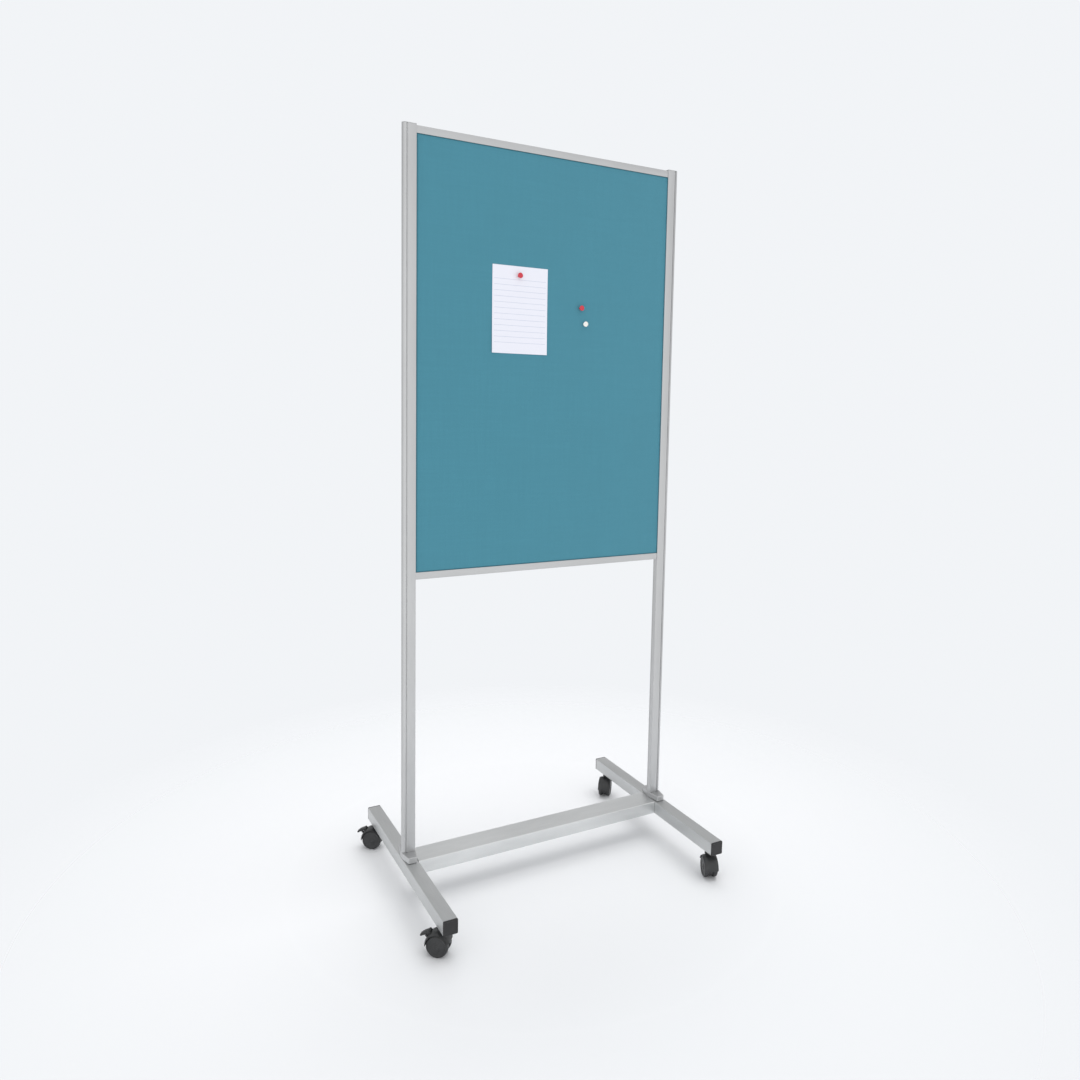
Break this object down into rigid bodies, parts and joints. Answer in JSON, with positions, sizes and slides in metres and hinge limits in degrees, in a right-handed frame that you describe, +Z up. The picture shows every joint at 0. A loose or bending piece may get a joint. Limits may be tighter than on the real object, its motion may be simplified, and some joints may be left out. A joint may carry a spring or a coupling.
{
  "type": "mobile whiteboard",
  "caption": "Tall mobile board on castors: teal fabric pinboard on one side, whiteboard on the other, between two aluminium posts on an H base, with a pinned note.",
  "frame": {"origin": "on the floor, under the middle of the bounding box, 13 mm to the left of the midpoint between the feet", "axes": "+Z up, +X along the board to the viewer's right, -Y out of the fabric side, +Y out of the whiteboard side"},
  "size_m": [0.9381, 0.7122, 2.172],
  "materials": {
    "aluminium": "satin anodised extrusion",
    "silver_paint": "satin silver powder coat",
    "steel": "zinc plated",
    "black_plastic": "moulded, fine grain",
    "castor_grey": "moulded nylon, satin",
    "grey_plastic": "moulded, fine grain",
    "teal_fabric": "fine felted weave",
    "fibreboard": "pressed fibre",
    "white_enamel": "gloss dry-wipe enamel",
    "paper": "matt, faint ruled lines",
    "pin_red": "gloss",
    "pin_white": "gloss"
  },
  "bodies": {
    "root": {"left_post": "aluminium", "right_post": "aluminium", "left_groove_strip": "aluminium", "right_groove_strip": "aluminium", "left_post_shoe": "aluminium", "right_post_shoe": "aluminium", "top_rail": "aluminium", "bottom_rail": "aluminium", "left_foot_tube": "silver_paint", "right_foot_tube": "silver_paint", "cross_beam": "silver_paint", "left_post_bolt": "steel", "right_post_bolt": "steel", "left_post_nut_block": "steel", "right_post_nut_block": "steel", "left_foot_front_cap": "black_plastic", "left_foot_rear_cap": "black_plastic", "right_foot_front_cap": "black_plastic", "right_foot_rear_cap": "black_plastic", "front_left_castor_socket": "black_plastic", "rear_left_castor_socket": "black_plastic", "front_right_castor_socket": "black_plastic", "rear_right_castor_socket": "black_plastic", "left_post_cap": "grey_plastic", "right_post_cap": "grey_plastic", "pinboard_fabric": "teal_fabric", "softboard": "fibreboard", "backing_board": "fibreboard", "whiteboard_sheet": "white_enamel", "note_paper": "paper"},
    "front_left_swivel": {"front_left_castor_stem": "steel", "front_left_castor_hood": "castor_grey", "front_left_castor_axle": "steel"},
    "front_left_wheel_1": {"front_left_wheel_1": "castor_grey"},
    "front_left_wheel_2": {"front_left_wheel_2": "castor_grey"},
    "front_left_brake": {"front_left_brake_lever": "castor_grey"},
    "rear_left_swivel": {"rear_left_castor_stem": "steel", "rear_left_castor_hood": "castor_grey", "rear_left_castor_axle": "steel"},
    "rear_left_wheel_1": {"rear_left_wheel_1": "castor_grey"},
    "rear_left_wheel_2": {"rear_left_wheel_2": "castor_grey"},
    "rear_left_brake": {"rear_left_brake_lever": "castor_grey"},
    "front_right_swivel": {"front_right_castor_stem": "steel", "front_right_castor_hood": "castor_grey", "front_right_castor_axle": "steel"},
    "front_right_wheel_1": {"front_right_wheel_1": "castor_grey"},
    "front_right_wheel_2": {"front_right_wheel_2": "castor_grey"},
    "rear_right_swivel": {"rear_right_castor_stem": "steel", "rear_right_castor_hood": "castor_grey", "rear_right_castor_axle": "steel"},
    "rear_right_wheel_1": {"rear_right_wheel_1": "castor_grey"},
    "rear_right_wheel_2": {"rear_right_wheel_2": "castor_grey"},
    "note_pin": {"note_pin_head": "pin_red", "note_pin_needle": "steel"},
    "upper_pin": {"upper_pin_head": "pin_red", "upper_pin_needle": "steel"},
    "lower_pin": {"lower_pin_head": "pin_white", "lower_pin_needle": "steel"}
  },
  "joints": [
    {"name": "front_left_swivel", "type": "hinge", "parent": "root", "child": "front_left_swivel", "pos_m": [-0.414, -0.307, 0.03], "axis": [0, 0, 1], "continuous": true},
    {"name": "front_left_roll_1", "type": "hinge", "parent": "front_left_swivel", "child": "front_left_wheel_1", "pos_m": [-0.42643, -0.29693, 0.03], "axis": [-0.6293, -0.7771, 0], "continuous": true},
    {"name": "front_left_roll_2", "type": "hinge", "parent": "front_left_swivel", "child": "front_left_wheel_2", "pos_m": [-0.42643, -0.29693, 0.03], "axis": [-0.6293, -0.7771, 0], "continuous": true},
    {"name": "front_left_brake", "type": "hinge", "parent": "front_left_swivel", "child": "front_left_brake", "pos_m": [-0.44622, -0.28091, 0.06033], "axis": [-0.6293, -0.7771, 0], "range_deg": [0, 7]},
    {"name": "rear_left_swivel", "type": "hinge", "parent": "root", "child": "rear_left_swivel", "pos_m": [-0.414, 0.307, 0.03], "axis": [0, 0, 1], "continuous": true},
    {"name": "rear_left_roll_1", "type": "hinge", "parent": "rear_left_swivel", "child": "rear_left_wheel_1", "pos_m": [-0.42727, 0.31595, 0.03], "axis": [-0.5592, -0.829, 0], "continuous": true},
    {"name": "rear_left_roll_2", "type": "hinge", "parent": "rear_left_swivel", "child": "rear_left_wheel_2", "pos_m": [-0.42727, 0.31595, 0.03], "axis": [-0.5592, -0.829, 0], "continuous": true},
    {"name": "rear_left_brake", "type": "hinge", "parent": "rear_left_swivel", "child": "rear_left_brake", "pos_m": [-0.44837, 0.33018, 0.06033], "axis": [-0.5592, -0.829, 0], "range_deg": [0, 7]},
    {"name": "front_right_swivel", "type": "hinge", "parent": "root", "child": "front_right_swivel", "pos_m": [0.44, -0.307, 0.03], "axis": [0, 0, 1], "continuous": true},
    {"name": "front_right_roll_1", "type": "hinge", "parent": "front_right_swivel", "child": "front_right_wheel_1", "pos_m": [0.43401, -0.32183, 0.03], "axis": [0.9272, -0.3746, 0], "continuous": true},
    {"name": "front_right_roll_2", "type": "hinge", "parent": "front_right_swivel", "child": "front_right_wheel_2", "pos_m": [0.43401, -0.32183, 0.03], "axis": [0.9272, -0.3746, 0], "continuous": true},
    {"name": "rear_right_swivel", "type": "hinge", "parent": "root", "child": "rear_right_swivel", "pos_m": [0.44, 0.307, 0.03], "axis": [0, 0, 1], "continuous": true},
    {"name": "rear_right_roll_1", "type": "hinge", "parent": "rear_right_swivel", "child": "rear_right_wheel_1", "pos_m": [0.42972, 0.29474, 0.03], "axis": [0.766, -0.6428, 0], "continuous": true},
    {"name": "rear_right_roll_2", "type": "hinge", "parent": "rear_right_swivel", "child": "rear_right_wheel_2", "pos_m": [0.42972, 0.29474, 0.03], "axis": [0.766, -0.6428, 0], "continuous": true},
    {"name": "note_pin_pull", "type": "slide", "parent": "root", "child": "note_pin", "axis": [0, -1, 0], "range_m": [0, 0.01]},
    {"name": "upper_pin_pull", "type": "slide", "parent": "root", "child": "upper_pin", "axis": [0, -1, 0], "range_m": [0, 0.01]},
    {"name": "lower_pin_pull", "type": "slide", "parent": "root", "child": "lower_pin", "axis": [0, -1, 0], "range_m": [0, 0.01]}
  ]
}
